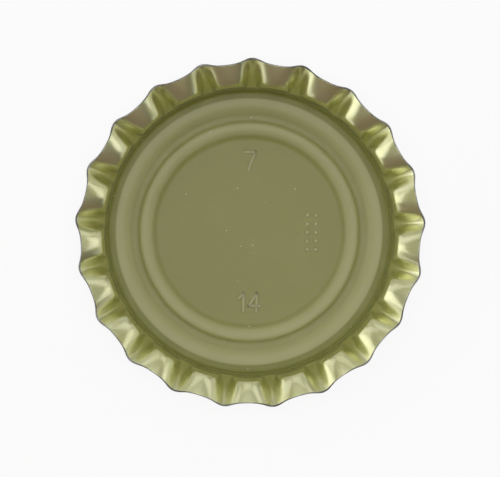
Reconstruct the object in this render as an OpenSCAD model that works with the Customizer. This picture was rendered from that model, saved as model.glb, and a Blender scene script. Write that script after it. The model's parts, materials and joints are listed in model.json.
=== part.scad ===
// Pry-off bottle cap for a 26 mm bottle finish, as it leaves the press and before it is crimped.
// A fluted tinplate shell holds a moulded sealing liner.
// It lies on its panel with the open side up. The origin is at the bottom, on the cap's axis.

/* [Pressed sheet] */
// Thickness of the tinplate
sheet_t = 0.235; // [0.2:0.005:0.28]
// Inside diameter of the collar, which guides the cap on to the bottle
collar_d = 26.75; // [26.3:0.05:27.2]
// Height of the collar's straight wall
collar_h = 0.45; // [0.3:0.05:0.8]
// Outside radius of the bend between the panel and the collar
corner_r = 1.85; // [1.6:0.05:2.1]
// Radius of the flat middle of the panel, on which the cap lies
panel_flat_r = 4; // [3:0.5:6]
// Radius of the shallow dome round that flat
panel_dome_r = 150; // [110:5:190]

/* [Fluted skirt] */
// Number of teeth
teeth = 21; // [19:1:23]
// Height of the cap at the low places of its edge, between the teeth
cap_h = 6; // [5.8:0.05:6.2]
// Diameter over the tips of the teeth
tip_d = 32.1; // [31.8:0.05:32.4]
// Diameter over the low places of the edge
valley_d = 31; // [30.8:0.05:31.2]
// Height that a tip falls short of the cap's height, because it leans out further
tip_drop = 0.5; // [0.3:0.05:0.7]
// Share of the skirt's height at which the middle of the flute between two teeth turns outwards
flute_turn = 0.72; // [0.5:0.01:0.8]
// Share of the skirt's height over which it does so
flute_bend = 0.04; // [0.03:0.005:0.1]
// How much lower down the flute's sides turn outwards, as a share, which folds its middle
flute_crease = 0.11; // [0:0.01:0.3]
// Roundness of that fold, where 0 is a sharp one
crease_round = 0.5; // [0.2:0.05:0.8]
// Share of the skirt's height at which a tooth's ridge turns outwards
ridge_turn = 0.02; // [0:0.01:0.2]
// Share of the skirt's height over which it does so
ridge_bend = 0.5; // [0.2:0.05:0.6]
// Sharpness of the ridges between the flutes, where 1 is a plain wave
ridge_sharpness = 6.2; // [4:0.1:8]
// Sharpness of the teeth along the edge
tip_sharpness = 2.7; // [2:0.1:4]
// Share of a plain wave in that edge, which rounds it between the teeth
edge_roundness = 0.36; // [0:0.05:0.8]

/* [Moulded liner] */
// Distance between the liner's edge and the collar's wall
liner_gap = 0.8; // [0.7:0.025:1]
// Thickness of the film over the panel's flat middle
film_t = 0.22; // [0.15:0.01:0.3]
// Width of the outer sealing ring at its foot
outer_ring_w = 1.5; // [1.3:0.05:1.7]
// Height of the outer sealing ring above the film
outer_ring_h = 0.65; // [0.5:0.05:0.8]
// Width of the groove between the feet of the two sealing rings
groove_w = 0.8; // [0.6:0.05:1]
// Height of that groove's bottom above the panel's flat middle
groove_h = 0.35; // [0.25:0.01:0.45]
// Width of the inner sealing ring at its foot
inner_ring_w = 1.4; // [1.2:0.05:1.6]
// Height of the inner sealing ring above the film
inner_ring_h = 0.5; // [0.35:0.05:0.7]
// Lean of the sealing rings' sides, in degrees from upright
ring_draft = 18; // [10:1:25]
// Radius of the rounds along the sealing rings
ring_round = 0.3; // [0.15:0.05:0.35]

/* [Hidden] */
$fn = 180;
// A tooth points along +Y
tooth_azimuth = 90;
// Columns of facets to a tooth, and rows of facets up the skirt, below and above the bend
columns_per_tooth = 14;
rows_below = 5;
rows_above = 3;
// How much the rows crowd towards the bend, where 1 spaces them evenly
row_crowding = 1.7;
// The least share of the height that the rows below the bend take up
least_below = 0.35;
// Steps along the dome, along the corner bend and along a sealing ring's round
dome_steps = 6;
corner_steps = 16;
ring_steps = 5;
// The skirt's root is let into the collar's wall, and is thinner than the wall on each side
root_depth = 0.06;
root_inset = 0.01;
// Small steps, in height and in degrees round the axis, over which the sheet's slope is taken
slope_step = 0.005;
turn_step = 0.2;

collar_r = collar_d / 2;
collar_outer_r = collar_r + sheet_t;
corner_x = collar_outer_r - corner_r;
dome_angle = asin((corner_x - panel_flat_r) / (panel_dome_r - corner_r));
corner_z = panel_dome_r - (panel_dome_r - corner_r) * cos(dome_angle);
collar_top = corner_z + collar_h;

columns = teeth * columns_per_tooth;
// The shell's round parts have their seam between two columns
seam_azimuth = tooth_azimuth + 180 / columns;
skirt_rows = rows_below + rows_above;
skirt_t = sheet_t - 2 * root_inset;
root_r = collar_r + sheet_t / 2;
// The middle of the sheet's edge on a ridge and in a flute, out and up from the collar's top
tip_edge = edge_middle(tip_d / 2, cap_h - tip_drop, ridge_turn, ridge_bend);
valley_edge = edge_middle(valley_d / 2, cap_h, flute_turn, flute_bend);

liner_r = collar_r - liner_gap;
outer_ring_r = liner_r - outer_ring_w;
groove_r = outer_ring_r - groove_w;
inner_ring_r = groove_r - inner_ring_w;
film_top = sheet_t + film_t;
groove_top = sheet_t + groove_h;

function mix(a, b, share) = a + (b - a) * share;
function unit(v) = v / norm(v);
function backwards(points) = [for (i = [len(points) - 1:-1:0]) points[i]];

// Points along an arc, without its first one
function arc(centre, r, from, to, steps) = [
    for (i = [1:steps])
        let (angle = mix(from, to, i / steps))
        centre + r * [cos(angle), sin(angle)]
];

// Half of the pressed section from the axis to the collar's top, a depth inside the outer face
function pressed_line(depth) = concat(
    [[0, depth], [panel_flat_r, depth]],
    arc([panel_flat_r, panel_dome_r], panel_dome_r - depth, -90, dome_angle - 90, dome_steps),
    arc([corner_x, corner_z], corner_r - depth, dome_angle - 90, 0, corner_steps),
    [[collar_outer_r - depth, collar_top]]
);

// A curve that stays near 0 below 0 and comes near to its argument above 0
function soft(x) = ln(1 + exp(x));

// How far out the sheet has come, from 0 at the collar to 1 at the edge
function flare(up, turn, bend) =
    let (start = soft(-turn / bend))
    (soft((up - turn) / bend) - start) / (soft((1 - turn) / bend) - start);

// The middle of the sheet at the edge, where its outer and its upper corner reach a radius and a height
function edge_middle(radius, height, turn, bend) =
    let (
        reach = radius - root_r,
        rise = height - collar_top,
        slope = (1 - flare(1 - slope_step, turn, bend)) / slope_step,
        lean = atan(reach * slope / rise)
    )
    [reach - skirt_t / 2 * cos(lean), rise - skirt_t / 2 * sin(lean)];

// 0 in the middle of a flute and 1 on a tooth's ridge
function wave(azimuth) = abs(cos(teeth * (azimuth - tooth_azimuth) / 2));

// How much of a ridge there is between the flutes
function ridge(wave) = pow(wave, 2 * ridge_sharpness);

// How much of a tooth there is along the edge
function tip(wave) = mix(pow(wave, 2 * tip_sharpness), wave * wave, edge_roundness);

// A fold along the middle of a flute, 0 there and 1 on a ridge
function fold(wave) = (norm([wave, crease_round]) - crease_round) / (norm([1, crease_round]) - crease_round);

// The share of the skirt's height at which the sheet turns outwards
function turn_up(wave) = mix(flute_turn - flute_crease * fold(wave), ridge_turn, ridge(wave));

// A point in the middle of the skirt's sheet, where up is 0 at the collar and 1 at the edge
function skirt_point(up, azimuth) =
    let (
        wave = wave(azimuth),
        bend = mix(flute_bend, ridge_bend, ridge(wave)),
        edge = mix(valley_edge, tip_edge, tip(wave)),
        r = root_r + edge.x * flare(up, turn_up(wave), bend),
        z = collar_top + edge.y * up
    )
    [r * cos(azimuth), r * sin(azimuth), z];

// The direction out of the sheet there, away from the axis
function skirt_normal(up, azimuth) =
    let (
        around = skirt_point(up, azimuth + turn_step) - skirt_point(up, azimuth - turn_step),
        along = skirt_point(up + slope_step, azimuth) - skirt_point(up - slope_step, azimuth)
    )
    unit(cross(around, along));

// The height of a row of points, as a share. The rows lie closer together where the sheet turns
function row_up(row, turn) =
    row < rows_below
        ? turn * (1 - pow(1 - row / rows_below, row_crowding))
        : mix(turn, 1, pow((row - rows_below) / rows_above, row_crowding));

// A ring of points on the skirt's outer face, side 1, or its inner face, side -1
function skirt_ring(row, side) = [
    for (column = [0:columns - 1])
        let (
            azimuth = tooth_azimuth + 360 * column / columns,
            up = row_up(row, max(turn_up(wave(azimuth)), least_below)),
            root = [0, 0, row == 0 ? root_depth : 0]
        )
        skirt_point(up, azimuth) - root + skirt_normal(up, azimuth) * side * skirt_t / 2
];

// The fluted skirt, lofted through its rings of points
module skirt() {
    outer = [for (row = [0:skirt_rows]) each skirt_ring(row, 1)];
    inner = [for (row = [0:skirt_rows]) each skirt_ring(row, -1)];
    first_inner = len(outer);
    top = skirt_rows * columns;
    polyhedron(
        points = concat(outer, inner),
        faces = [
            for (i = [0:columns - 1])
                let (j = (i + 1) % columns)
                each [
                    for (row = [0:skirt_rows - 1])
                        let (a = row * columns, b = a + columns, c = first_inner + a, d = c + columns)
                        each [
                            [a + i, b + i, b + j], [a + i, b + j, a + j],
                            [c + j, d + j, d + i], [c + j, d + i, c + i]
                        ],
                    [top + i, first_inner + top + i, first_inner + top + j],
                    [top + i, first_inner + top + j, top + j],
                    [i, j, first_inner + j],
                    [i, first_inner + j, first_inner + i]
                ]
        ],
        convexity = 10
    );
}

// Pressed tinplate shell
module crown_shell() {
    color([0.6, 0.6, 0.4])
        union() {
            rotate(seam_azimuth)
                rotate_extrude()
                    polygon(concat(
                        pressed_line(0),
                        [[root_r, collar_top + sheet_t / 2]],
                        backwards(pressed_line(sheet_t))
                    ));
            skirt();
        }
}

// One side of a sealing ring from its foot to its top: how far inside the foot, and how high
function ring_side(foot, top) =
    let (inset = (top - foot) * tan(ring_draft) + ring_round * tan((90 - ring_draft) / 2))
    concat(
        [[0, foot]],
        [
            for (i = [0:ring_steps])
                let (angle = mix(180 - ring_draft, 90, i / ring_steps))
                [inset, top - ring_round] + ring_round * [cos(angle), sin(angle)]
        ]
    );

// Half of the section of a sealing ring, between the radii of its two feet
function ring_line(inner_r, inner_foot, outer_r, outer_foot, top) = concat(
    [for (point = ring_side(inner_foot, top)) [inner_r + point.x, point.y]],
    [for (point = backwards(ring_side(outer_foot, top))) [outer_r - point.x, point.y]]
);

// Moulded sealing liner, which takes the pressed panel's form below
module liner() {
    panel_line = pressed_line(sheet_t);
    panel_top = lookup(liner_r, panel_line);
    color([0.56, 0.55, 0.38])
        rotate_extrude()
            polygon(concat(
                [for (point = panel_line) if (point.x < liner_r) point],
                backwards(concat(
                    [[0, film_top]],
                    ring_line(inner_ring_r, film_top, groove_r, groove_top, film_top + inner_ring_h),
                    ring_line(outer_ring_r, groove_top, liner_r, panel_top, film_top + outer_ring_h)
                ))
            ));
}

crown_shell();
liner();
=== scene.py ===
import json
import logging
import math
import random
from collections.abc import Callable, Sequence
from dataclasses import dataclass, field
from enum import Enum, IntEnum
from functools import cached_property
from typing import ClassVar

import bpy
from mathutils import Matrix, Vector


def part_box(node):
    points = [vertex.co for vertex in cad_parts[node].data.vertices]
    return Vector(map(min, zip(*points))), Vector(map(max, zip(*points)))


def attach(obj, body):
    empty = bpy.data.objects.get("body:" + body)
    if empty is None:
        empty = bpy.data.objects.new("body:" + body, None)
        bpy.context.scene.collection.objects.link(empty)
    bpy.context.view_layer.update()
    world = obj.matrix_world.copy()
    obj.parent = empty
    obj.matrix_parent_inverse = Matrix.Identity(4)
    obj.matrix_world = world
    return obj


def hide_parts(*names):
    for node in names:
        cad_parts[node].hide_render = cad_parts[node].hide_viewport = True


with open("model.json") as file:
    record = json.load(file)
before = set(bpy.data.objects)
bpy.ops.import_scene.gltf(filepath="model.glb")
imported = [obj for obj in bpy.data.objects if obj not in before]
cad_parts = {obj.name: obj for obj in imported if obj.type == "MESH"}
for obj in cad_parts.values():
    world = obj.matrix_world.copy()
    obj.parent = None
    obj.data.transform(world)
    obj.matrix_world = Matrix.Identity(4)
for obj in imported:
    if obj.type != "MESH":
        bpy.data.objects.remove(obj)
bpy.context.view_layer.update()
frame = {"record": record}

# Lengths are in metres, as in the frame, and angles in radians where nothing else is said.
MM = 0.001
BODY = "root"
LOG = logging.getLogger("bottle_cap")

Socket = bpy.types.NodeSocket
Settings = dict[str, object] | None
Sockets = dict[str | int, object] | None
Colour = tuple[float, float, float]
Stretch = tuple[float, float, float]
Range = tuple[float, float]
# A point of a section is a distance from the axis and a height. A corner adds its rounding.
Point = tuple[float, float]
Corner = tuple[float, float, float]
Section = list[Point]


# --- Shader maths ---


class Value:
    """A number carried by a shader socket. Arithmetic on it adds the Math nodes that do it."""

    def __init__(self, shader: "Shader", socket: Socket) -> None:
        """Wraps a socket.

        Args:
            shader: The node tree that the socket is in.
            socket: An output socket that gives a number.
        """
        self.shader = shader
        self.socket = socket

    def __add__(self, other: "Value | float") -> "Value":
        """The sum."""
        return self.shader.math("ADD", self, other)

    def __radd__(self, other: float) -> "Value":
        """The sum, with the number first."""
        return self.shader.math("ADD", other, self)

    def __sub__(self, other: "Value | float") -> "Value":
        """The difference."""
        return self.shader.math("SUBTRACT", self, other)

    def __rsub__(self, other: float) -> "Value":
        """The difference, with the number first."""
        return self.shader.math("SUBTRACT", other, self)

    def __mul__(self, other: "Value | float") -> "Value":
        """The product."""
        return self.shader.math("MULTIPLY", self, other)

    def __rmul__(self, other: float) -> "Value":
        """The product, with the number first."""
        return self.shader.math("MULTIPLY", other, self)

    def clamped(self) -> "Value":
        """The value held between 0 and 1."""
        return self.shader.math("ADD", self, 0.0, clamp=True)

    def step_up(self, low: float, high: float) -> "Value":
        """A smooth step.

        Args:
            low: The value at which the step starts.
            high: The value at which it ends.

        Returns:
            0 below low, 1 above high, and a smooth rise between them.
        """
        settings = {"interpolation_type": "SMOOTHSTEP"}
        sockets = {"Value": self, "From Min": low, "From Max": high}
        return self.shader.value("ShaderNodeMapRange", settings, sockets, "Result")


@dataclass(frozen=True)
class Grain:
    """Soft noise: the size of its patches, its detail, and a stretch that draws it out below 1."""

    size: float
    detail: float = 2.0
    stretch: Stretch = (1.0, 1.0, 1.0)


class Shader:
    """The node tree of a material or of the world."""

    def __init__(self, owner: bpy.types.Material | bpy.types.World) -> None:
        """Empties the tree.

        Args:
            owner: The material or world that the tree belongs to.
        """
        owner.use_nodes = True
        self.tree = owner.node_tree
        self.tree.nodes.clear()

    def node(
        self, kind: str, settings: Settings = None, sockets: Sockets = None
    ) -> bpy.types.Node:
        """Adds a node.

        Args:
            kind: The node's type.
            settings: Its properties, which are set first.
            sockets: What goes into its inputs: values, sockets or Value objects.

        Returns:
            The new node.
        """
        made = self.tree.nodes.new(kind)
        for name, setting in (settings or {}).items():
            setattr(made, name, setting)
        for key, given in (sockets or {}).items():
            self._feed(made.inputs[key], given)
        return made

    def _feed(self, socket: Socket, given: object) -> None:
        """Links or sets one input.

        Args:
            socket: The input.
            given: A Value, an output socket, a number, a colour or a vector.
        """
        source = given.socket if isinstance(given, Value) else given
        if isinstance(source, Socket):
            self.tree.links.new(source, socket)
        elif isinstance(source, tuple) and socket.type == "RGBA":
            socket.default_value = (*source, 1.0)
        else:
            socket.default_value = source

    def value(
        self, kind: str, settings: Settings = None, sockets: Sockets = None, output: str | int = 0
    ) -> Value:
        """Adds a node and wraps one of its outputs, which gives a number.

        Args:
            kind: The node's type.
            settings: Its properties.
            sockets: What goes into its inputs.
            output: The output's name or number.

        Returns:
            The wrapped output.
        """
        return Value(self, self.node(kind, settings, sockets).outputs[output])

    def math(self, operation: str, *inputs: Value | float, clamp: bool = False) -> Value:
        """Adds a Math node.

        Args:
            operation: What it does.
            inputs: What it does that to.
            clamp: Whether the result is held between 0 and 1.

        Returns:
            The result.
        """
        settings = {"operation": operation, "use_clamp": clamp}
        return self.value("ShaderNodeMath", settings, dict(enumerate(inputs)))

    def mix(self, share: Value | float, first: object, second: object) -> Socket:
        """Mixes two colours.

        Args:
            share: How much of the second colour there is.
            first: A colour or a colour socket.
            second: A colour or a colour socket.

        Returns:
            The mixed colour's socket.
        """
        sockets = {0: share, 6: first, 7: second}
        return self.node("ShaderNodeMix", {"data_type": "RGBA"}, sockets).outputs[2]

    def place(self) -> Socket:
        """The point on the piece, in the frame."""
        return self.node("ShaderNodeTexCoord").outputs["Object"]

    def stretched(self, scale: Stretch) -> Socket:
        """The point on the piece with each axis multiplied.

        Args:
            scale: What each axis is multiplied by.

        Returns:
            The vector's socket.
        """
        sockets = {0: self.place(), 1: scale}
        return self.node("ShaderNodeVectorMath", {"operation": "MULTIPLY"}, sockets).outputs[0]

    def noise(self, grain: Grain) -> Value:
        """Soft noise fixed to the piece.

        Args:
            grain: What the noise is like.

        Returns:
            The noise, from 0 to 1 and mostly near 0.5.
        """
        scale = tuple(share / grain.size for share in grain.stretch)
        sockets = {"Vector": self.stretched(scale), "Scale": 1.0, "Detail": grain.detail}
        return self.value("ShaderNodeTexNoise", None, sockets, "Fac")

    def specks(self, pitch: float, size: float, share: float) -> Value:
        """Small pale specks scattered over the piece: partly dust and partly painted glints.

        Args:
            pitch: The distance between places where a speck may lie.
            size: A speck's radius, as a share of the pitch.
            share: The share of the places that have one.

        Returns:
            1 on a speck and 0 beside it.
        """
        sockets = {"Vector": self.stretched((1 / pitch,) * 3), "Scale": 1.0}
        cells = self.node("ShaderNodeTexVoronoi", {"feature": "F1"}, sockets)
        chance = self.value("ShaderNodeSeparateColor", None, {0: cells.outputs["Color"]})
        core, blend = 0.5 * size, 0.01
        near = 1.0 - Value(self, cells.outputs["Distance"]).step_up(core, size)
        return near * (1.0 - chance.step_up(share - blend, share))

    def bump(self, height: Value, distance: float) -> Socket:
        """A bumped normal.

        Args:
            height: The relief, from 0 to 1.
            distance: How high 1 is.

        Returns:
            The normal's socket.
        """
        sockets = {"Height": height, "Distance": distance, "Strength": 1.0}
        return self.node("ShaderNodeBump", None, sockets).outputs["Normal"]

    def surface(self, shader_socket: Socket, world: bool = False) -> None:
        """Ends the tree.

        Args:
            shader_socket: What the surface or the background is.
            world: Whether the tree is the world's.
        """
        kind = "ShaderNodeOutputWorld" if world else "ShaderNodeOutputMaterial"
        self.node(kind, None, {"Surface": shader_socket})

    def principled(self, **sockets: object) -> None:
        """Ends a material in one Principled shader.

        Args:
            sockets: Its inputs, with underscores for the spaces in their names.
        """
        named = {name.replace("_", " "): given for name, given in sockets.items()}
        self.surface(self.node("ShaderNodeBsdfPrincipled", None, named).outputs["BSDF"])


# --- Finishes ---


class Finish:
    """A finish, which makes one material and keeps it."""

    name: str

    def dress(self, shader: Shader) -> None:
        """Builds the finish's nodes.

        Args:
            shader: The empty node tree of its material.
        """
        raise NotImplementedError

    def material(self) -> bpy.types.Material:
        """Makes the finish's material on first use.

        Returns:
            The material.
        """
        made = bpy.data.materials.get(self.name)
        if made is None:
            made = bpy.data.materials.new(self.name)
            self.dress(Shader(made))
        return made


@dataclass(frozen=True)
class GoldLacquer(Finish):
    """Clear yellow lacquer, stoved on the inside of the tinplate."""

    name: str = "gold_lacquer"
    colour: Colour = (0.72, 0.725, 0.385)
    deep_colour: Colour = (0.64, 0.645, 0.29)
    clouds: Grain = Grain(2.2 * MM, 3.0)
    deep_clouds: Range = (0.35, 0.7)
    grain: Grain = Grain(0.09 * MM)
    drawn: Grain = Grain(0.05 * MM, 1.0, (1, 1, 0.12))
    grain_share: float = 0.6
    relief: float = 0.003 * MM
    roughness: float = 0.24
    cloud_roughness: float = 0.1
    grain_roughness: float = 0.06
    coat: float = 1.0
    coat_roughness: float = 0.1
    coat_ior: float = 1.9

    def dress(self, shader: Shader) -> None:
        """Builds the lacquered metal.

        Args:
            shader: The material's node tree.
        """
        clouds = shader.noise(self.clouds)
        deep = clouds.step_up(*self.deep_clouds)
        grain = shader.noise(self.grain)
        drawn = shader.noise(self.drawn)
        relief = grain * self.grain_share + drawn * (1 - self.grain_share)
        rough = self.roughness + self.cloud_roughness * clouds + self.grain_roughness * grain
        shader.principled(
            Base_Color=shader.mix(deep, self.colour, self.deep_colour),
            Metallic=1.0,
            Roughness=rough,
            Coat_Weight=self.coat,
            Coat_Roughness=self.coat_roughness,
            Coat_IOR=self.coat_ior,
            Normal=shader.bump(relief, self.relief),
        )


@dataclass(frozen=True)
class BareTin(Finish):
    """Bright tinplate with the fine lines of the rolling mill."""

    name: str = "bare_tin"
    colour: Colour = (0.60, 0.598, 0.58)
    dull_colour: Colour = (0.47, 0.47, 0.458)
    clouds: Grain = Grain(3.0 * MM, 4.0)
    dull_clouds: Range = (0.4, 0.75)
    rolled: Grain = Grain(0.06 * MM, 2.0, (1, 0.02, 1))
    relief: float = 0.004 * MM
    roughness: float = 0.2
    rolled_roughness: float = 0.12

    def dress(self, shader: Shader) -> None:
        """Builds the tinned metal.

        Args:
            shader: The material's node tree.
        """
        dull = shader.noise(self.clouds).step_up(*self.dull_clouds)
        rolled = shader.noise(self.rolled)
        shader.principled(
            Base_Color=shader.mix(dull, self.colour, self.dull_colour),
            Metallic=1.0,
            Roughness=self.roughness + self.rolled_roughness * rolled,
            Normal=shader.bump(rolled, self.relief),
        )


@dataclass(frozen=True)
class ShearedSteel(Finish):
    """The cut edge of the sheet: steel between two thin layers of tin."""

    name: str = "sheared_steel"
    colour: Colour = (0.31, 0.31, 0.285)
    dark_colour: Colour = (0.08, 0.08, 0.065)
    torn: Grain = Grain(0.12 * MM, 3.0)
    patches: Grain = Grain(1.6 * MM)
    torn_share: float = 0.5
    dark_range: Range = (0.42, 0.6)
    relief: float = 0.006 * MM
    roughness: float = 0.34
    torn_roughness: float = 0.2

    def dress(self, shader: Shader) -> None:
        """Builds the cut steel.

        Args:
            shader: The material's node tree.
        """
        torn = shader.noise(self.torn)
        patches = shader.noise(self.patches)
        spread = torn * self.torn_share + patches * (1 - self.torn_share)
        dark = spread.step_up(*self.dark_range)
        shader.principled(
            Base_Color=shader.mix(dark, self.colour, self.dark_colour),
            Metallic=1.0,
            Roughness=self.roughness + self.torn_roughness * torn,
            Normal=shader.bump(torn, self.relief),
        )


@dataclass(frozen=True)
class LinerCompound(Finish):
    """Soft milky compound. The gold below shows through where it is thin.

    Its colour goes from thin to thick with the height, and to the rim's colour with the
    distance from the axis.
    """

    name: str = "milky_compound"
    thin_colour: Colour = (0.25, 0.243, 0.064)
    thick_colour: Colour = (0.375, 0.372, 0.174)
    thin_to_thick: Range = (0.455 * MM, 0.82 * MM)
    rim_colour: Colour = (0.204, 0.21, 0.038)
    rim_fade: Range = (12.3 * MM, 12.54 * MM)
    thick_weight: float = 0.9
    clouds: Grain = Grain(3.5 * MM)
    cloud_weight: float = 0.25
    haze: Grain = Grain(0.5 * MM, 3.0)
    haze_weight: float = 0.1
    relief: float = 0.004 * MM
    roughness: float = 0.42
    haze_roughness: float = 0.12
    # The specks' colour: partly dust and partly painted glints.
    dust_and_glint_colour: Colour = (0.62, 0.61, 0.45)
    speck_pitch: float = 1.3 * MM
    speck_size: float = 0.06
    speck_share: float = 0.45
    depth: float = 0.4 * MM
    depth_share: float = 0.6
    depth_reach: Colour = (1.0, 1.0, 0.5)

    def dress(self, shader: Shader) -> None:
        """Builds the moulded compound.

        Args:
            shader: The material's node tree.
        """
        axes = shader.node("ShaderNodeSeparateXYZ", None, {0: shader.place()}).outputs
        x, y, height = (Value(shader, axes[name]) for name in "XYZ")
        fade = shader.math("SQRT", x * x + y * y).step_up(*self.rim_fade)
        thick = height.step_up(*self.thin_to_thick)
        clouds = shader.noise(self.clouds)
        haze = shader.noise(self.haze)
        uneven = (clouds - 0.5) * self.cloud_weight + (haze - 0.5) * self.haze_weight
        tone = (thick * self.thick_weight + uneven).clamped()
        milky = shader.mix(tone, self.thin_colour, self.thick_colour)
        faded = shader.mix(fade, milky, self.rim_colour)
        # Pale specks in the base colour: partly dust and partly painted glints.
        specks = shader.specks(self.speck_pitch, self.speck_size, self.speck_share)
        shader.principled(
            Base_Color=shader.mix(specks, faded, self.dust_and_glint_colour),
            Roughness=self.roughness + self.haze_roughness * haze,
            Subsurface_Weight=self.depth_share,
            Subsurface_Radius=self.depth_reach,
            Subsurface_Scale=self.depth,
            Normal=shader.bump(haze, self.relief),
        )


@dataclass(frozen=True)
class PaleFloor(Finish):
    """A plain white table, which shows white and keeps a soft shadow."""

    name: str = "pale_floor"
    colour: Colour = (0.9, 0.9, 0.9)
    shown_white: float = 0.86

    def dress(self, shader: Shader) -> None:
        """Builds the table's surface.

        Args:
            shader: The material's node tree.
        """
        path = shader.node("ShaderNodeLightPath").outputs
        seen = sum(
            (Value(shader, path[name]) for name in ("Is Glossy Ray", "Is Transmission Ray")),
            start=Value(shader, path["Is Camera Ray"]),
        )
        plain = shader.node("ShaderNodeBsdfDiffuse", None, {"Color": self.colour})
        white = shader.node("ShaderNodeEmission", None, {"Color": (1.0, 1.0, 1.0)})
        sockets = {0: seen * self.shown_white, 1: plain.outputs[0], 2: white.outputs[0]}
        shader.surface(shader.node("ShaderNodeMixShader", None, sockets).outputs[0])


# --- Meshes ---


class Loft:
    """A mesh lofted through rings of points, every ring with the same number of points."""

    def __init__(self) -> None:
        """Starts with no points."""
        self.points: list[Vector] = []
        self.faces: list[tuple[int, ...]] = []
        self.finish_of_face: list[int] = []

    def ring(self, points: Sequence[Vector]) -> range:
        """Adds a ring.

        Args:
            points: The ring's points, in order.

        Returns:
            The numbers of its points.
        """
        first = len(self.points)
        self.points.extend(points)
        return range(first, len(self.points))

    def join(self, lower: range, upper: range, finish: int = 0) -> None:
        """Joins two rings with a band of faces.

        Args:
            lower: The first ring. The band's faces look to the right of the way to the second.
            upper: The second ring.
            finish: The number of the band's material.
        """
        count = len(lower)
        for i in range(count):
            j = (i + 1) % count
            self._face((lower[i], lower[j], upper[j], upper[i]), finish)

    def close(self, ring: range, pole: Vector, before: bool, finish: int = 0) -> None:
        """Closes an end of the loft with a fan.

        Args:
            ring: The last ring.
            pole: The point in the middle.
            before: Whether this is the end that the loft starts from.
            finish: The number of the fan's material.
        """
        tip = self.ring([pole])[0]
        count = len(ring)
        for i in range(count):
            j = (i + 1) % count
            self._face((tip, ring[j], ring[i]) if before else (tip, ring[i], ring[j]), finish)

    def _face(self, corners: tuple[int, ...], finish: int) -> None:
        """Adds a face.

        Args:
            corners: The numbers of its points.
            finish: The number of its material.
        """
        self.faces.append(corners)
        self.finish_of_face.append(finish)

    def piece(self, name: str, finishes: Sequence[Finish]) -> bpy.types.Object:
        """Makes the mesh a piece of the part.

        Args:
            name: The piece's name.
            finishes: Its finishes, in the order that the faces number them.

        Returns:
            The piece, which rides on the cap's one body.
        """
        mesh = bpy.data.meshes.new(name)
        mesh.from_pydata([tuple(p) for p in self.points], [], self.faces)
        for finish in finishes:
            mesh.materials.append(finish.material())
        mesh.polygons.foreach_set("material_index", self.finish_of_face)
        mesh.polygons.foreach_set("use_smooth", [True] * len(mesh.polygons))
        mesh.validate()
        mesh.update()
        made = bpy.data.objects.new(name, mesh)
        bpy.context.scene.collection.objects.link(made)
        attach(made, BODY)
        triangles = sum(len(face) - 2 for face in self.faces)
        LOG.info("%s: %d points, %d triangles", name, len(self.points), triangles)
        return made


def around(radius: float, height: float, columns: int, start: float = 0.0) -> list[Vector]:
    """Points round the cap's axis.

    Args:
        radius: Their distance from the axis.
        height: Their height.
        columns: How many there are.
        start: The azimuth of the first.

    Returns:
        The points, counterclockwise seen from above.
    """
    turns = (start + math.tau * i / columns for i in range(columns))
    return [Vector((radius * math.cos(a), radius * math.sin(a), height)) for a in turns]


def arc(centre: Point, radius: float, start: float, end: float, steps: int) -> Section:
    """Points along an arc, without its first one.

    Args:
        centre: The arc's centre, as distance from the axis and height.
        radius: The arc's radius.
        start: The angle of its first point.
        end: The angle of its last point.
        steps: How many points there are.

    Returns:
        The points.
    """
    angles = (start + (end - start) * i / steps for i in range(1, steps + 1))
    return [(centre[0] + radius * math.cos(a), centre[1] + radius * math.sin(a)) for a in angles]


def rounded(corners: Sequence[Corner], steps: int) -> Section:
    """A line through corners, with each corner rounded.

    Args:
        corners: The distance from the axis, the height and the rounding reach of each corner.
        steps: How many steps a rounded corner has.

    Returns:
        The line's points.
    """
    line: Section = []
    for i, (x, z, reach) in enumerate(corners):
        here = Vector((x, z))
        if reach == 0 or i in (0, len(corners) - 1):
            line.append((x, z))
            continue
        back = Vector(corners[i - 1][:2]) - here
        ahead = Vector(corners[i + 1][:2]) - here
        enter = here + back.normalized() * min(reach, back.length * 0.5)
        leave = here + ahead.normalized() * min(reach, ahead.length * 0.5)
        for step in range(steps + 1):
            t = step / steps
            point = enter * (1 - t) ** 2 + here * 2 * t * (1 - t) + leave * t * t
            line.append((point.x, point.y))
    return line


# --- The pressed shell ---


class Side(Enum):
    """A face of the sheet, as the side of its middle surface that it lies on."""

    OUTER = 1
    INNER = -1


class Layer(IntEnum):
    """What shows on the sheet, as its place among the shell's finishes."""

    LACQUER = 0
    TIN = 1
    STEEL = 2


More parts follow.
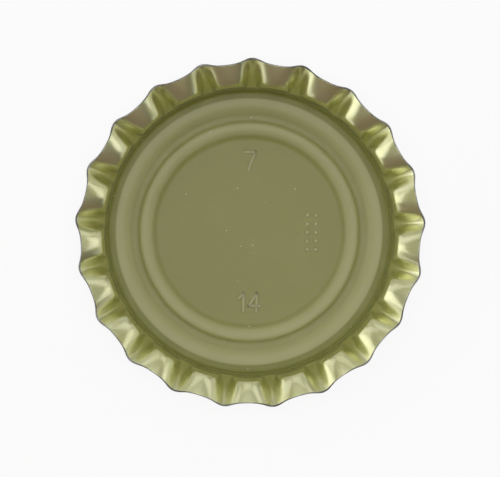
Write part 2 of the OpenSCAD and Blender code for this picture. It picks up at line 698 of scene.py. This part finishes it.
@dataclass
class Panel:
    """The cap's panel, corner bend and collar, which are round."""

    sheet_t: float
    collar_r: float
    collar_low: float
    collar_top: float
    flat_r: float = 4.0 * MM
    dome_r: float = 150.0 * MM
    corner_r: float = 1.85 * MM
    dome_steps: int = 8
    corner_steps: int = 14

    @classmethod
    def of_frame(cls) -> "Panel":
        """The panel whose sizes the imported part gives.

        Returns:
            The panel.
        """
        bore = next(m for m in frame["record"]["mounts"] if m["name"] == "finish_bore")
        middle = bore["pos_m"][2]
        half = bore["dims"]["length_mm"] * MM / 2
        return cls(
            sheet_t=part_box("liner")[0].z,
            collar_r=bore["dims"]["r_mm"] * MM,
            collar_low=middle - half,
            collar_top=middle + half,
        )

    @property
    def middle_r(self) -> float:
        """The radius of the middle of the collar's wall."""
        return self.collar_r + self.sheet_t / 2

    @property
    def corner_x(self) -> float:
        """The radius of the circle that the corner's centre runs round."""
        return self.collar_r + self.sheet_t - self.corner_r

    def line(self, depth: float) -> Section:
        """Half of the section, from the flat middle to the collar's foot.

        Args:
            depth: The distance inside the outer face.

        Returns:
            The points.
        """
        turn = math.asin((self.corner_x - self.flat_r) / (self.dome_r - self.corner_r))
        quarter = math.pi / 2
        dome = (self.flat_r, self.dome_r)
        corner = (self.corner_x, self.collar_low)
        return (
            [(self.flat_r, depth)]
            + arc(dome, self.dome_r - depth, -quarter, turn - quarter, self.dome_steps)
            + arc(corner, self.corner_r - depth, turn - quarter, 0.0, self.corner_steps)
        )

    def inside_height(self, radius: float) -> float:
        """The height of the panel's inner face at a radius on the corner's bend or the dome.

        Args:
            radius: The distance from the axis.

        Returns:
            The height.
        """
        line = self.line(self.sheet_t)
        for (r0, z0), (r1, z1) in zip(line, line[1:]):
            if r0 <= radius <= r1:
                return z0 + (z1 - z0) * (radius - r0) / (r1 - r0)
        return line[0][1]


@dataclass
class Tooth:
    """How one tooth strays from its fellows.

    The turn is in azimuth, the short a length, and the depth a share of the skirt's height.
    """

    turn: float
    short: float
    depth: float

    # The most of each, in degrees, in millimetres and as a share.
    MOST_TURN: ClassVar[float] = 0.22
    MOST_SHORT: ClassVar[float] = 0.05
    MOST_DEPTH: ClassVar[float] = 0.03

    @classmethod
    def pressed(cls, draw: random.Random) -> "Tooth":
        """A tooth as the press leaves it.

        Args:
            draw: The source of its small errors.

        Returns:
            The tooth.
        """
        return cls(
            turn=math.radians(draw.uniform(-cls.MOST_TURN, cls.MOST_TURN)),
            short=draw.uniform(0.0, cls.MOST_SHORT) * MM,
            depth=draw.uniform(-cls.MOST_DEPTH, cls.MOST_DEPTH),
        )


def mix(start: float, end: float, share: float) -> float:
    """The value a share of the way from one to another."""
    return start + (end - start) * share


def soft(x: float) -> float:
    """A curve that stays near 0 below 0 and comes near to its argument above 0."""
    return math.log1p(math.exp(-abs(x))) + max(x, 0.0)


@dataclass(frozen=True)
class Flare:
    """How the sheet turns outwards on its way up the skirt.

    The turn is the share of the height at which it does so, and the bend the share
    over which it does so. Past the lip's turn it goes out more steeply, by the lip's share.
    """

    turn: float
    bend: float
    lip: float = 0.0
    lip_turn: float = 1.0
    lip_bend: float = 0.06

    def _gone(self, up: float) -> float:
        """How far the sheet has gone out, without a scale."""
        turned = self.bend * soft((up - self.turn) / self.bend)
        return turned + self.lip * self.lip_bend * soft((up - self.lip_turn) / self.lip_bend)

    def out(self, up: float) -> float:
        """How far out the sheet has come.

        Args:
            up: 0 at the collar and 1 at the edge.

        Returns:
            0 at the collar and 1 at the edge.
        """
        start = self._gone(0.0)
        return (self._gone(up) - start) / (self._gone(1.0) - start)

    def end_slope(self, step: float = 0.005) -> float:
        """How steeply the sheet goes out at the edge."""
        return (1 - self.out(1 - step)) / step


def crease(wave: float, rounding: float) -> float:
    """A fold along the middle of a flute.

    Args:
        wave: 0 in the middle of a flute and 1 on a tooth's ridge.
        rounding: How round the fold is, where 0 is a sharp one.

    Returns:
        0 in the middle and 1 on the ridge.
    """
    return (math.hypot(wave, rounding) - rounding) / (math.hypot(1, rounding) - rounding)


@dataclass
class Skirt:
    """The fluted skirt, from the collar's top to the cut edge."""

    sheet_t: float
    root_r: float
    collar_top: float
    cap_h: float
    tip_r: float
    teeth: int = 21
    first_tooth: float = math.pi / 2
    valley_r: float = 15.5 * MM
    tip_drop: float = 0.5 * MM
    flute: Flare = Flare(0.72, 0.04, lip=0.58, lip_turn=0.887)
    ridge: Flare = Flare(0.02, 0.5)
    flute_crease: float = 0.11
    crease_round: float = 0.5
    lip_spread: float = 1.32
    lip_round: float = 0.2
    ridge_sharpness: float = 6.2
    tip_sharpness: float = 2.7
    edge_roundness: float = 0.36
    columns_per_tooth: int = 32
    rows_below: int = 18
    rows_above: int = 22
    least_below: float = 0.35
    row_crowding: float = 1.5
    probe: float = 0.002
    edge_round: float = 0.04 * MM
    edge_bevel: float = 0.3
    edge_guard: float = 1.4
    press_seed: int = 21
    stray: list[Tooth] = field(default_factory=list)

    @classmethod
    def of_frame(cls, panel: Panel) -> "Skirt":
        """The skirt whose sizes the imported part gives.

        Args:
            panel: The panel that it grows from.

        Returns:
            The skirt.
        """
        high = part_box("crown_shell")[1]
        skirt = cls(
            sheet_t=panel.sheet_t,
            root_r=panel.middle_r,
            collar_top=panel.collar_top,
            cap_h=high.z,
            tip_r=high.y,
        )
        draw = random.Random(skirt.press_seed)
        skirt.stray = [Tooth.pressed(draw) for _ in range(skirt.teeth)]
        return skirt

    @property
    def columns(self) -> int:
        """How many points a ring of the skirt has."""
        return self.teeth * self.columns_per_tooth

    @property
    def rows(self) -> int:
        """How many rows of faces lie between the collar and the edge."""
        return self.rows_below + self.rows_above

    def edge_middle(self, radius: float, height: float, flare: Flare) -> Point:
        """Where the middle of the sheet ends, from the collar's top.

        Args:
            radius: The outermost radius of the sheet there.
            height: Its greatest height there.
            flare: How it turns outwards on its way.

        Returns:
            How far it reaches out and how far it rises.
        """
        reach = radius - self.root_r
        rise = height - self.collar_top
        lean = math.atan2(reach * flare.end_slope(), rise)
        half = self.sheet_t / 2
        return reach - half * math.cos(lean), rise - half * math.sin(lean)

    @cached_property
    def tip(self) -> Point:
        """How far the sheet reaches out on a ridge, and how far it rises."""
        return self.edge_middle(self.tip_r, self.cap_h - self.tip_drop, self.ridge)

    @cached_property
    def valley(self) -> Point:
        """How far the sheet reaches out in a flute, and how far it rises."""
        return self.edge_middle(self.valley_r, self.cap_h, self.flute)

    def wave(self, azimuth: float) -> float:
        """0 in the middle of a flute and 1 on a tooth's ridge."""
        return abs(math.cos(self.teeth * (azimuth - self.first_tooth) / 2))

    def turned(self, wave: float, later: float = 0.0) -> Flare:
        """How the sheet turns outwards at a place across a tooth.

        Args:
            wave: 0 in the middle of a flute and 1 on a tooth's ridge.
            later: How much higher up than usual it does so, as a share.

        Returns:
            The way that it turns.
        """
        flute, ridge = self.flute, self.ridge
        share = wave ** (2 * self.ridge_sharpness)
        turn = flute.turn + later - self.flute_crease * crease(wave, self.crease_round)
        spread = self.lip_spread * crease(wave, self.lip_round)
        return Flare(
            turn=mix(turn, ridge.turn, share),
            bend=mix(flute.bend, ridge.bend, share),
            lip=flute.lip * (1 - share),
            lip_turn=mix(flute.lip_turn, 1.0, spread) + later,
        )

    def point(self, up: float, azimuth: float) -> Vector:
        """A point in the middle of the sheet.

        Args:
            up: 0 at the collar and 1 at the edge.
            azimuth: The azimuth.

        Returns:
            The point.
        """
        number = (azimuth - self.first_tooth) * self.teeth / math.tau
        tooth = self.stray[round(number) % self.teeth]
        flute = self.stray[math.floor(number) % self.teeth]
        near = math.cos(math.pi * (number - round(number))) ** 2
        wave = self.wave(azimuth + tooth.turn * near * up)
        tip = mix(wave ** (2 * self.tip_sharpness), wave * wave, self.edge_roundness)
        reach = mix(self.valley[0], self.tip[0] - tooth.short * near, tip)
        out = self.root_r + reach * self.turned(wave, flute.depth * (1 - near)).out(up)
        height = self.collar_top + mix(self.valley[1], self.tip[1], tip) * up
        return Vector((out * math.cos(azimuth), out * math.sin(azimuth), height))

    def row_up(self, row: float, azimuth: float) -> float:
        """The height of a row of points, which lie closer together where the sheet turns.

        Args:
            row: The number of the row.
            azimuth: The azimuth.

        Returns:
            0 at the collar and 1 at the edge.
        """
        turn = max(self.turned(self.wave(azimuth)).turn, self.least_below)
        if row < self.rows_below:
            return turn * (1 - (1 - row / self.rows_below) ** self.row_crowding)
        return mix(turn, 1.0, ((row - self.rows_below) / self.rows_above) ** self.row_crowding)

    def ring(self, row: int, offset: float, lift: float = 0.0) -> list[Vector]:
        """A ring of points on or in the sheet.

        Args:
            row: The number of the row, from the collar.
            offset: The distance from the middle of the sheet, more than 0 away from the axis.
            lift: A distance along the sheet past that place.

        Returns:
            The points.
        """
        step = self.probe
        points = []
        for column in range(self.columns):
            azimuth = self.first_tooth + math.tau * column / self.columns
            up = self.row_up(row, azimuth)
            sideways = self.point(up, azimuth + step) - self.point(up, azimuth - step)
            along = self.point(up + step, azimuth) - self.point(up - step, azimuth)
            out = sideways.cross(along).normalized()
            points.append(self.point(up, azimuth) + out * offset + along.normalized() * lift)
        return points


@dataclass
class CrownShell:
    """The pressed tinplate shell: panel, corner, collar and fluted skirt."""

    panel: Panel
    skirt: Skirt
    lacquer: GoldLacquer = GoldLacquer()
    tin: BareTin = BareTin()
    steel: ShearedSteel = ShearedSteel()

    def face(self, side: Side) -> list[list[Vector]]:
        """The rings of one face of the sheet, from the middle of the panel to the edge.

        Args:
            side: Which face.

        Returns:
            The rings.
        """
        skirt = self.skirt
        depth = 0.0 if side is Side.OUTER else self.panel.sheet_t
        rings = [
            around(radius, height, skirt.columns, skirt.first_tooth)
            for radius, height in self.panel.line(depth)
        ]
        offset = side.value * (skirt.sheet_t / 2)
        rings += [skirt.ring(row, offset) for row in range(skirt.rows)]
        for reach in (skirt.edge_guard, 1.0):
            rings.append(skirt.ring(skirt.rows, offset, -reach * skirt.edge_round))
        return rings

    def edge(self) -> list[list[Vector]]:
        """The rings round the cut edge, from the outer face to the inner one.

        Returns:
            The rings.
        """
        skirt = self.skirt
        half = skirt.sheet_t / 2
        flat = half - skirt.edge_round
        bevel = skirt.edge_bevel * skirt.edge_round
        places = (
            (half - bevel, -bevel),
            (flat, 0.0),
            (0.0, 0.0),
            (-flat, 0.0),
            (bevel - half, -bevel),
        )
        return [skirt.ring(skirt.rows, offset, lift) for offset, lift in places]

    def build(self) -> bpy.types.Object:
        """Builds the shell, which stands for its solid in the frame.

        Returns:
            The shell.
        """
        loft = Loft()
        outer, edge, inner = self.face(Side.OUTER), self.edge(), self.face(Side.INNER)[::-1]
        rings = [loft.ring(points) for points in outer + edge + inner]
        loft.close(rings[0], Vector((0, 0, 0)), before=True, finish=Layer.TIN)
        for number, (lower, upper) in enumerate(zip(rings, rings[1:])):
            if number < len(outer) - 1:
                layer = Layer.TIN
            elif number < len(outer) + len(edge):
                layer = Layer.STEEL
            else:
                layer = Layer.LACQUER
            loft.join(lower, upper, layer)
        middle = Vector((0, 0, self.panel.sheet_t))
        loft.close(rings[-1], middle, before=False, finish=Layer.LACQUER)
        finishes = (self.lacquer, self.tin, self.steel)
        shell = loft.piece("pressed_shell", finishes)
        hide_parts("crown_shell")
        return shell


# --- The moulded liner ---


@dataclass
class Liner:
    """The sealing liner, moulded into the shell: a film with two raised rings."""

    panel: Panel
    radius: float
    outer_ring_r: float
    outer_ring_top: float
    film_t: float = 0.22 * MM
    groove_w: float = 0.8 * MM
    groove_h: float = 0.35 * MM
    inner_ring_w: float = 1.4 * MM
    inner_ring_h: float = 0.5 * MM
    outer_draft: float = math.radians(18)
    inner_draft: float = math.radians(50)
    inner_spread: float = 0.1 * MM
    shoulder: float = 0.95
    shoulder_round: float = 0.4 * MM
    crest_round: float = 0.45 * MM
    foot_round: float = 0.3 * MM
    creep: float = 0.45 * MM
    climb: float = 0.28 * MM
    meniscus: float = 0.4 * MM
    film_rings: tuple[float, ...] = (0.6, 0.25)
    round_steps: int = 8
    columns: int = 420
    compound: LinerCompound = LinerCompound()

    @classmethod
    def of_frame(cls, panel: Panel) -> "Liner":
        """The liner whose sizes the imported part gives.

        Args:
            panel: The panel that it lies in.

        Returns:
            The liner.
        """
        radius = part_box("liner")[1].x
        ring = next(m for m in frame["record"]["mounts"] if m["name"] == "sealing_ring")
        width = 2 * (radius - ring["pos_m"][0])
        return cls(panel, radius, radius - width, ring["pos_m"][2])

    @property
    def film_top(self) -> float:
        """The height of the film's top."""
        return self.panel.sheet_t + self.film_t

    @property
    def rim_r(self) -> float:
        """The radius at which the compound ends on the corner of the tin."""
        return self.radius + self.creep + self.climb

    def inner_side(self, radius: float, low: float, top: float) -> tuple[Corner, Corner]:
        """The foot and the shoulder of a ring's inner side, which leans out gently.

        Args:
            radius: The radius at which the ring starts.
            low: The height of its foot.
            top: The height of its crest.

        Returns:
            The two corners.
        """
        foot_r = radius - self.inner_spread
        rise = self.shoulder * (top - low)
        shoulder_r = foot_r + rise * math.tan(self.inner_draft)
        return (foot_r, low, self.foot_round), (shoulder_r, low + rise, self.shoulder_round)

    def top_line(self) -> Section:
        """Half of the section of the top, from the axis to the liner's edge.

        Returns:
            The points.
        """
        film = self.film_top
        groove = self.panel.sheet_t + self.groove_h
        inner_top = film + self.inner_ring_h
        outer_top = self.outer_ring_top
        groove_r = self.outer_ring_r - self.groove_w
        foot = self.panel.inside_height(self.radius)
        lean = math.tan(self.outer_draft)
        creep_r = self.radius + self.creep
        return rounded(
            (
                (0.0, film, 0.0),
                *self.inner_side(groove_r - self.inner_ring_w, film, inner_top),
                (groove_r - (inner_top - groove) * lean, inner_top, self.crest_round),
                (groove_r, groove, self.foot_round),
                *self.inner_side(self.outer_ring_r, groove, outer_top),
                (self.radius - (outer_top - foot) * lean, outer_top, self.crest_round),
                (creep_r, self.panel.inside_height(creep_r), self.meniscus),
                (self.rim_r, self.panel.inside_height(self.rim_r), 0.0),
            ),
            self.round_steps,
        )

    def build(self) -> bpy.types.Object:
        """Builds the liner, which stands for its solid in the frame.

        Returns:
            The liner.
        """
        loft = Loft()
        below = [point for point in self.panel.line(self.panel.sheet_t) if point[0] < self.rim_r]
        top = self.top_line()[1:]
        top.reverse()
        film_r, film = top[-1]
        middle = [(share * film_r, film) for share in self.film_rings]
        rings = [loft.ring(around(r, z, self.columns)) for r, z in below + top + middle]
        loft.close(rings[0], Vector((0, 0, self.panel.sheet_t)), before=True)
        for lower, upper in zip(rings, rings[1:]):
            loft.join(lower, upper)
        loft.close(rings[-1], Vector((0, 0, self.film_top)), before=False)
        liner = loft.piece("moulded_liner", (self.compound,))
        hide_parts("liner")
        return liner


class Digit(Enum):
    """The strokes of a plain number, in a box one high, as chains of points."""

    ONE = (((-0.16, 0.72), (0.08, 1.0), (0.08, 0.0)),)
    FOUR = (((0.12, 0.0), (0.12, 1.0), (-0.3, 0.3), (0.3, 0.3)),)
    SEVEN = (((-0.28, 1.0), (0.28, 1.0), (-0.1, 0.0)),)


@dataclass
class MouldMarks:
    """Raised marks that the moulding punch leaves on the film: cavity numbers and dots."""

    liner: Liner
    height: float = 1.7 * MM
    stroke_w: float = 0.3 * MM
    dot_w: float = 0.42 * MM
    relief: float = 0.12 * MM
    sunk: float = 0.6
    flank: tuple[Point, ...] = ((0.92, 0.35), (0.74, 0.72), (0.4, 0.95))
    number_r: float = 6.6 * MM
    digit_pitch: float = 1.15 * MM
    dots: int = 5
    dot_x: tuple[float, ...] = (5.45 * MM, 6.25 * MM)
    dot_pitch: float = 0.8 * MM
    sides: int = 12
    compound: LinerCompound = LinerCompound(
        "raised_compound",
        thin_colour=(0.28, 0.27, 0.09),
        thick_colour=(0.385, 0.378, 0.20),
        thin_to_thick=(0.455 * MM, 0.56 * MM),
    )

    def mound(self, loft: Loft, start: Vector, end: Vector, width: float) -> None:
        """Adds a low mound along a straight line, with round ends.

        Args:
            loft: The mesh that it goes into.
            start: The middle of one end.
            end: The middle of the other end.
            width: The mound's width.
        """
        film = self.liner.film_top
        way = (end - start).to_3d()
        way = way.normalized() if way.length > 0 else Vector((1.0, 0.0, 0.0))
        side = Vector((-way.y, way.x, 0.0))
        half = width / 2
        rings = []
        for share, rise in ((1.0, -self.sunk), *self.flank):
            outline = []
            for i in range(2 * self.sides):
                turn = math.pi * (i + 0.5) / self.sides - math.pi / 2
                centre = end if math.cos(turn) > 0 else start
                offset = way * math.cos(turn) + side * math.sin(turn)
                outline.append(centre.to_3d() + offset * half * share)
            for point in outline:
                point.z = film + self.relief * rise
            rings.append(loft.ring(outline))
        middle = ((start + end) / 2).to_3d()
        loft.close(rings[0], middle + Vector((0, 0, film - self.sunk * self.relief)), before=True)
        for lower, upper in zip(rings, rings[1:]):
            loft.join(lower, upper)
        loft.close(rings[-1], middle + Vector((0, 0, film + self.relief)), before=False)

    def number(self, loft: Loft, digits: Sequence[Digit], centre: Vector) -> None:
        """Adds a number.

        Args:
            loft: The mesh that it goes into.
            digits: Its digits, from left to right.
            centre: The middle of it.
        """
        for place, digit in enumerate(digits):
            shift = (place - (len(digits) - 1) / 2) * self.digit_pitch
            origin = centre + Vector((shift, -self.height / 2))
            for chain in digit.value:
                corners = [origin + Vector(corner) * self.height for corner in chain]
                for start, end in zip(corners, corners[1:]):
                    self.mound(loft, start, end, self.stroke_w)

    def build(self) -> bpy.types.Object:
        """Builds the marks.

        Returns:
            The marks, as one piece.
        """
        loft = Loft()
        self.number(loft, (Digit.SEVEN,), Vector((0.0, self.number_r)))
        self.number(loft, (Digit.ONE, Digit.FOUR), Vector((0.0, -self.number_r)))
        for x in self.dot_x:
            for dot in range(self.dots):
                spot = Vector((x, (dot - (self.dots - 1) / 2) * self.dot_pitch))
                self.mound(loft, spot, spot, self.dot_w)
        return loft.piece("mould_marks", (self.compound,))


# --- The studio ---


@dataclass(frozen=True)
class Softbox:
    """A soft lamp that looks at the cap. Angles are in degrees, azimuths from +X."""

    name: str
    azimuth: float
    elevation: float
    width: float
    height: float
    brightness: float
    colour: Colour = (1.0, 1.0, 1.0)
    distance: float = 0.5

    def light(self) -> None:
        """Hangs the lamp."""
        turn, rise = math.radians(self.azimuth), math.radians(self.elevation)
        way = Vector(
            (math.cos(turn) * math.cos(rise), math.sin(turn) * math.cos(rise), math.sin(rise))
        )
        lamp = bpy.data.lights.new(self.name, "AREA")
        lamp.shape = "RECTANGLE"
        lamp.size, lamp.size_y = self.width, self.height
        lamp.energy = self.brightness * math.pi * self.width * self.height
        lamp.color = self.colour
        hung = bpy.data.objects.new(self.name, lamp)
        hung.location = way * self.distance
        hung.rotation_mode = "QUATERNION"
        hung.rotation_quaternion = way.to_track_quat("Z", "Y")
        bpy.context.scene.collection.objects.link(hung)


@dataclass
class Studio:
    """A white table under soft lamps."""

    floor_r: float = 3.0
    floor_sides: int = 96
    air: float = 0.1
    finish: PaleFloor = PaleFloor()
    lamps: tuple[Softbox, ...] = (
        Softbox("top_softbox", 90, 88, 0.30, 0.30, 2.88),
        Softbox("top_fill", 90, 86, 0.62, 0.55, 0.48),
        Softbox("left_low_softbox", 184, 12, 0.26, 0.20, 1.56),
        Softbox("left_softbox", 184, 33, 0.30, 0.16, 1.5),
        Softbox("left_back_low_softbox", 154, 12, 0.26, 0.20, 1.02),
        Softbox("left_back_softbox", 139, 33, 0.30, 0.16, 0.96),
        Softbox("left_front_low_softbox", 214, 12, 0.26, 0.20, 0.9),
        Softbox("back_softbox", 94, 33, 0.30, 0.16, 0.9),
        Softbox("back_high_softbox", 94, 56, 0.30, 0.18, 0.4),
        Softbox("back_low_softbox", 94, 12, 0.78, 0.20, 0.48),
        Softbox("right_back_softbox", 49, 33, 0.30, 0.16, 1.02),
        Softbox("right_softbox", 4, 33, 0.30, 0.16, 1.32),
        Softbox("right_low_softbox", 4, 12, 0.78, 0.20, 0.54),
        Softbox("front_card", 270, 36, 0.90, 0.50, 0.13, (1.0, 0.60, 0.46)),
    )

    def build(self) -> None:
        """Lays the table and hangs the lamps."""
        mesh = bpy.data.meshes.new("table")
        rim = around(self.floor_r, 0.0, self.floor_sides)
        mesh.from_pydata([tuple(p) for p in rim], [], [tuple(range(len(rim)))])
        mesh.materials.append(self.finish.material())
        table = bpy.data.objects.new("table", mesh)
        bpy.context.scene.collection.objects.link(table)
        for lamp in self.lamps:
            lamp.light()
        world = bpy.data.worlds.new("studio_air")
        bpy.context.scene.world = world
        shader = Shader(world)
        plain = {"Color": (1.0, 1.0, 1.0), "Strength": self.air}
        shader.surface(shader.node("ShaderNodeBackground", None, plain).outputs[0], world=True)


@dataclass
class Viewpoint:
    """The camera above the open cap."""

    rim: float
    lean: tuple[float, float] = (-0.030, 0.035)
    aim: tuple[float, float] = (-0.075 * MM, -0.43 * MM)
    distance: float = 200.0 * MM
    field_w: float = 45.45 * MM
    roll: float = math.radians(0.75)
    sensor_w: float = 36.0
    clip: Range = (0.01, 20.0)

    def build(self) -> None:
        """Sets the camera up."""
        data = bpy.data.cameras.new("camera")
        data.sensor_fit = "HORIZONTAL"
        data.sensor_width = self.sensor_w
        data.lens = self.sensor_w * self.distance / self.field_w
        data.clip_start, data.clip_end = self.clip
        camera = bpy.data.objects.new("camera", data)
        bpy.context.scene.collection.objects.link(camera)
        back = Vector((*self.lean, 1.0)).normalized()
        up = Vector((-math.sin(self.roll), math.cos(self.roll), 0.0))
        right = up.cross(back).normalized()
        camera.rotation_mode = "QUATERNION"
        turn = Matrix((right, back.cross(right), back)).transposed()
        camera.rotation_quaternion = turn.to_quaternion()
        camera.location = Vector((*self.aim, self.rim)) + back * self.distance
        bpy.context.scene.camera = camera


def main() -> None:
    """Builds the cap, then the studio round it."""
    logging.basicConfig(level=logging.INFO, format="%(name)s: %(message)s")
    bpy.context.scene.view_settings.view_transform = "Standard"
    panel = Panel.of_frame()
    skirt = Skirt.of_frame(panel)
    liner = Liner.of_frame(panel)
    Viewpoint(skirt.cap_h).build()
    builders: tuple[Callable[[], bpy.types.Object], ...] = (
        CrownShell(panel, skirt).build,
        liner.build,
        MouldMarks(liner).build,
    )
    for build in builders:
        LOG.info("built %s", build().name)
    Studio().build()


if __name__ == "__main__":
    main()
